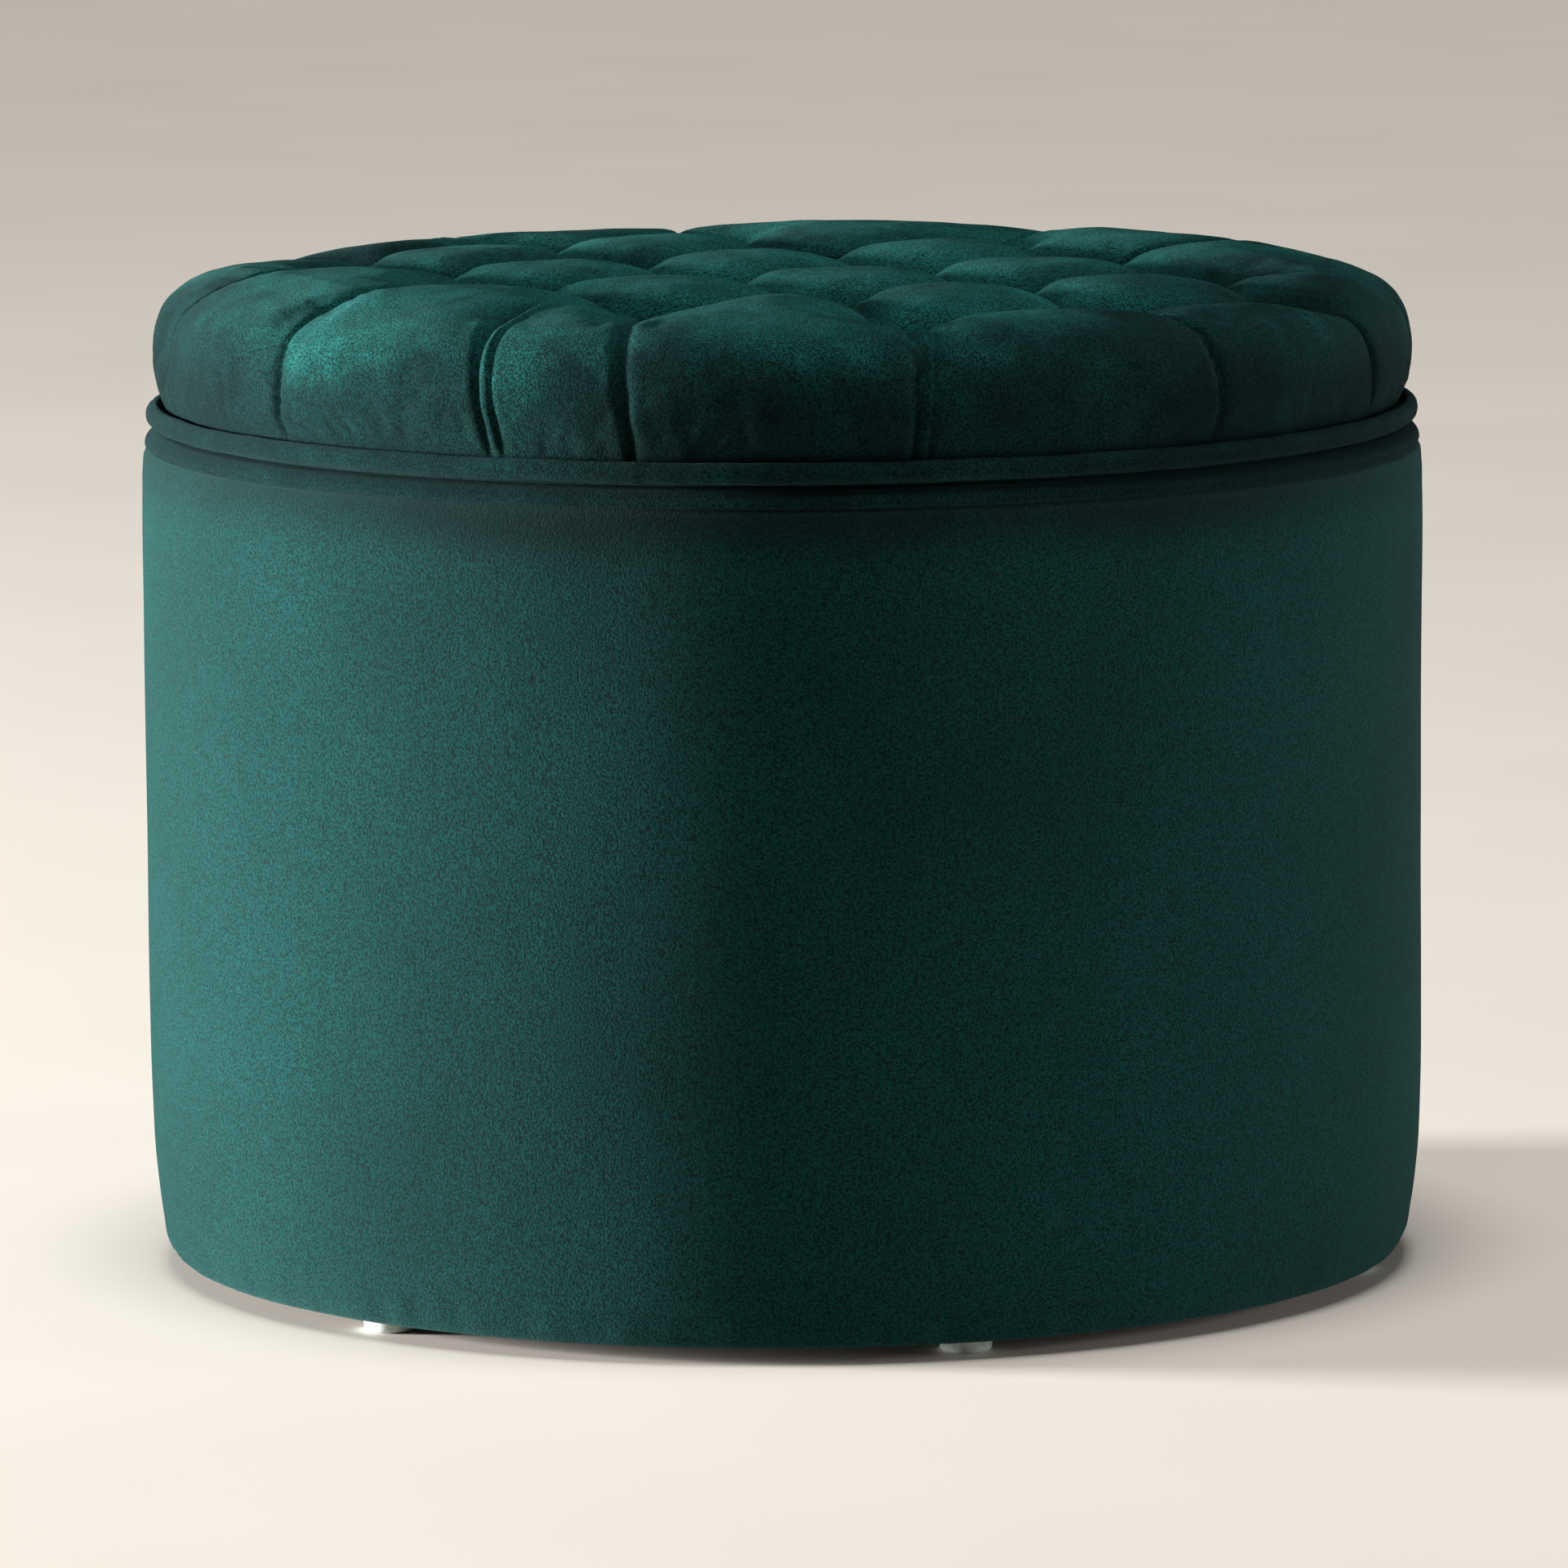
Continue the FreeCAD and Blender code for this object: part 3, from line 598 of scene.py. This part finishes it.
inside = np.array([(frame_radius + 0.3 * MM, strip_z - 10 * MM),
                   (frame_radius + 0.3 * MM, hem_z + 1.5 * MM),
                   (drum_radius - 50 * MM, hem_z + 1.5 * MM)])
outline = np.concatenate([side_line, inside])
steps = 500
points, faces = turn_round(outline, steps)
angles = np.degrees(np.arctan2(points[:, 1], points[:, 0]))
heights = points[:, 2]
shown = np.tile(np.concatenate([np.ones(len(side_line)), np.zeros(len(inside))]), steps)
directions = outwards(points)
ring_place = np.column_stack([directions * 0.3, heights * 0.55])
push = 1.1 * MM * soft_noise(ring_place, 0.16, 1) + 0.35 * MM * soft_noise(ring_place, 0.045, 2)
above = np.clip((heights - hem_z) / (30 * MM), 0, 1)
below = np.clip((strip_z - heights) / (12 * MM), 0, 1)
# small puckers where the hem is pulled under
pucker_place = np.column_stack([directions * 0.3, heights * 0.12])
pucker = 1.0 * MM * soft_noise(pucker_place, 0.013, 5) * np.exp(-((heights - hem_z - 7 * MM) / (9 * MM)) ** 2)
# the panel's one seam, at the back
seam_away = np.abs((angles - 108 + 180) % 360 - 180) * math.pi / 180 * drum_radius
seam = -1.6 * MM * np.exp(-(seam_away / (1.8 * MM)) ** 2) * np.clip((heights - hem_z) / (3 * MM), 0, 1)
move = shown * (push * above * below + pucker * (heights > hem_z + 0.3 * MM)
                + seam * (heights > hem_z + 1 * MM))
points[:, :2] += directions * move[:, None]
side = cloth_piece("side_velvet", points, faces, "base")
finish(side, "velvet")
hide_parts("side_cover", "wall_padding")

# ---------------------------------------------------------------- rim strip
STRIP_LINE = [
    (drum_radius - 3.6 * MM, strip_z + 0.5 * MM), (drum_radius - 1.9 * MM, strip_z + 1.6 * MM),
    (drum_radius - 2.0 * MM, strip_z + 4 * MM), (drum_radius - 3.6 * MM, strip_z + 6.6 * MM),
    (drum_radius - 6.5 * MM, rim_z - 0.6 * MM), (drum_radius - 11 * MM, rim_z),
    (drum_radius - 25 * MM, rim_z - 0.1 * MM), (well_radius + 3 * MM, rim_z),
    (well_radius - 0.2 * MM, rim_z - 1.2 * MM), (well_radius - 1.5 * MM, rim_z - 5 * MM),
    (well_radius - 1.5 * MM, rim_z - 20 * MM), (well_radius - 1.5 * MM, rim_z - 40 * MM)]
strip_line, strip_reach = curve_through(STRIP_LINE, 70)
step_out = np.gradient(strip_line, axis=0)
step_out /= np.linalg.norm(step_out, axis=1)[:, None]
inner_line = strip_line + np.stack([-step_out[:, 1], step_out[:, 0]], 1) * 1.3 * MM
outline = np.concatenate([strip_line, inner_line[::-1]])
points, faces = turn_round(outline, 540)
directions = outwards(points)
ripple = 0.35 * MM * soft_noise(np.column_stack([directions * 0.3, points[:, 2]]), 0.03, 8)
ripple *= np.clip((rim_z - points[:, 2]) / (3 * MM), 0, 1)
points[:, :2] += directions * ripple[:, None]
# the strip has slackened most a little left of the front, and shows as a wider gap under the lid
angles = np.degrees(np.arctan2(points[:, 1], points[:, 0]))
outer = np.clip((np.linalg.norm(points[:, :2], axis=1) - drum_radius + 24 * MM) / (8 * MM), 0, 1)
slack = np.exp(-(((angles + 95 + 180) % 360 - 180) / 22) ** 2) * outer
slack *= np.clip((points[:, 2] - strip_z - 1.5 * MM) / (5 * MM), 0, 1)
points[:, :2] -= directions * (2.2 * MM * slack)[:, None]
points[:, 2] -= 1.0 * MM * slack
strip = cloth_piece("rim_velvet", points, faces, "base")
# painted shade: the rim strip under the welt takes the lid's darker copy of the velvet
finish(strip, "velvet", handled_velvet_light_and_shade)
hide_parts("rim_cover")


# ---------------------------------------------------------------- lining of the well
def lining_sheet(name, line, steps, body, slack_of, thickness=0.7 * MM):
    """A turned lining: a thin closed sheet along a line, with shallow slack in it."""
    step_out = np.gradient(line, axis=0)
    step_out /= np.linalg.norm(step_out, axis=1)[:, None]
    back = line + np.stack([-step_out[:, 1], step_out[:, 0]], 1) * thickness
    points, faces = turn_round(np.concatenate([line, back[::-1]]), steps)
    piece = cloth_piece(name, points + slack_of(points), faces, body)
    apply_modifier(piece, "WELD", merge_threshold=1e-5)
    return piece


def declare_sheet(piece, slot, replaced):
    finish(piece, slot)
    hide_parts(*replaced)


def wall_slack(points):
    directions = outwards(points)
    place = np.column_stack([directions * 0.26, points[:, 2] * 0.25])
    inwards = 0.5 + 0.5 * soft_noise(place, 0.05, 11)
    fade = np.clip((points[:, 2] - well_floor) / (30 * MM), 0, 1)
    fade *= np.clip((rim_z - 42 * MM - points[:, 2]) / (25 * MM), 0, 1)
    return np.column_stack([-directions * (1.6 * MM * inwards * fade)[:, None], np.zeros(len(points))])


line, wall_reach = curve_through([
    (well_radius - 1 * MM, rim_z - 40.2 * MM), (well_radius - 1 * MM, rim_z - 120 * MM),
    (well_radius - 1 * MM, well_floor + 60 * MM), (well_radius - 1 * MM, well_floor + 1.1 * MM)], 60)
wall_cloth = lining_sheet("wall_lining_cloth", line, 300, "base", wall_slack)
declare_sheet(wall_cloth, "lining", ["wall_lining"])


def floor_slack(points):
    far = np.linalg.norm(points[:, :2], axis=1)
    lift = 0.6 * MM * (0.5 + 0.5 * soft_noise(points, 0.07, 12))
    lift *= np.clip((well_radius - 3 * MM - far) / (20 * MM), 0, 1)
    return np.column_stack([np.zeros((len(points), 2)), lift])


line = np.column_stack([np.linspace(0.0, well_radius - 1.8 * MM, 60)[::-1], np.full(60, well_floor + 1 * MM)])
floor_cloth = lining_sheet("floor_lining_cloth", line, 160, "base", floor_slack)
declare_sheet(floor_cloth, "lining", ["floor_lining"])

# ---------------------------------------------------------------- lining of the lid's plug
plug_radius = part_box("lid_lining")[1].x
plug_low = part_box("lid_lining")[0].z


def plug_slack(points):
    far = np.linalg.norm(points[:, :2], axis=1)
    drop = 0.5 * MM * (0.5 + 0.5 * soft_noise(points, 0.06, 14))
    drop *= np.clip((plug_radius - 6 * MM - far) / (20 * MM), 0, 1)
    return np.column_stack([np.zeros((len(points), 2)), -drop])


line = curve_through([
    (0.0, plug_low), (0.1, plug_low), (0.2, plug_low), (plug_radius - 4 * MM, plug_low),
    (plug_radius - 1.2 * MM, plug_low + 0.5 * MM), (plug_radius - 0.1 * MM, plug_low + 3 * MM),
    (plug_radius, plug_low + 12.6 * MM)], 90)[0]
plug_cloth = lining_sheet("lid_lining_cloth", line, 240, "lid", plug_slack)
declare_sheet(plug_cloth, "lining", ["lid_lining"])

# ---------------------------------------------------------------- dust cover under the drum
dust_low, dust_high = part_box("dust_cover")


def dust_slack(points):
    far = np.linalg.norm(points[:, :2], axis=1)
    sag = (1.2 * MM * (1 - (far / 0.25) ** 2) + 0.4 * MM * soft_noise(points, 0.05, 15)) * (far < 0.25)
    return np.column_stack([np.zeros((len(points), 2)), -np.clip(sag, 0, None)])


line = np.column_stack([np.linspace(0.0, dust_high.x, 70), np.full(70, dust_low.z)])
dust = lining_sheet("dust_cover_cloth", line, 200, "base", dust_slack, thickness=0.5 * MM)
declare_sheet(dust, "dust_cloth", ["dust_cover"])

# ---------------------------------------------------------------- studio
bpy.ops.mesh.primitive_plane_add(size=60, location=(0, 0, 0))
floor = bpy.context.object
floor.name = "studio_floor"
pale, tree, shader, where = new_material("pale_floor", Roughness=0.6)
cloud = noise_node(tree, where, 400)
tree.links.new(ramp(tree, cloud, [(0.3, "#E3DACF"), (0.7, "#E7DED3")]), shader.inputs["Base Color"])
floor.data.materials.append(pale)

world = bpy.data.worlds.new("studio")
bpy.context.scene.world = world
world.use_nodes = True
room = world.node_tree.nodes["Background"]
room.inputs["Color"].default_value = linear("#E6E4E0")
room.inputs["Strength"].default_value = 0.035

TURN = math.radians(18)   # the camera stands this far round towards +X
AIM_HEIGHT = 0.25         # the lights aim at the middle of the drum


def softbox(name, azimuth, elevation, distance, size, power):
    """A square light aimed at the ottoman; azimuth is measured from the camera, to its right."""
    a, e = TURN + math.radians(azimuth), math.radians(elevation)
    place = Vector((math.sin(a) * math.cos(e), -math.cos(a) * math.cos(e), math.sin(e))) * distance
    place.z += AIM_HEIGHT
    light = bpy.data.lights.new(name, "AREA")
    light.size, light.energy = size, power
    lamp = bpy.data.objects.new(name, light)
    bpy.context.collection.objects.link(lamp)
    lamp.location = place
    lamp.rotation_euler = (Vector((0, 0, AIM_HEIGHT)) - place).to_track_quat("-Z", "Y").to_euler()


softbox("window_left", -93, 3, 5.0, 1.0, 1250)
softbox("fill_right", 80, 6, 3.2, 1.0, 42)

# a wide skylight from almost overhead keeps the floor evenly pale
sky = bpy.data.lights.new("skylight", "SUN")
sky.energy, sky.angle = 2.1, math.radians(20)
lamp = bpy.data.objects.new("skylight", sky)
bpy.context.collection.objects.link(lamp)
lamp.location = (0, 0, 4)
lamp.rotation_euler = (math.radians(4), 0, TURN)

camera = bpy.data.objects.new("camera", bpy.data.cameras.new("camera"))
bpy.context.collection.objects.link(camera)
camera.data.sensor_width = 36
camera.data.lens = 252.2
pitch, roll = math.radians(7.81), math.radians(-0.33)
right, look = Vector((1, 0, 0)), Vector((0, math.cos(pitch), -math.sin(pitch)))
up = right.cross(look)
right, up = right * math.cos(roll) + up * math.sin(roll), up * math.cos(roll) - right * math.sin(roll)
facing = Matrix((right, up, -look)).transposed().to_4x4()
away, eye_height = 5.1315, 0.927
camera.matrix_world = Matrix.Rotation(TURN, 4, "Z") @ Matrix.Translation((0, -away, eye_height)) @ facing
bpy.context.scene.camera = camera
bpy.context.scene.view_settings.view_transform = "Standard"
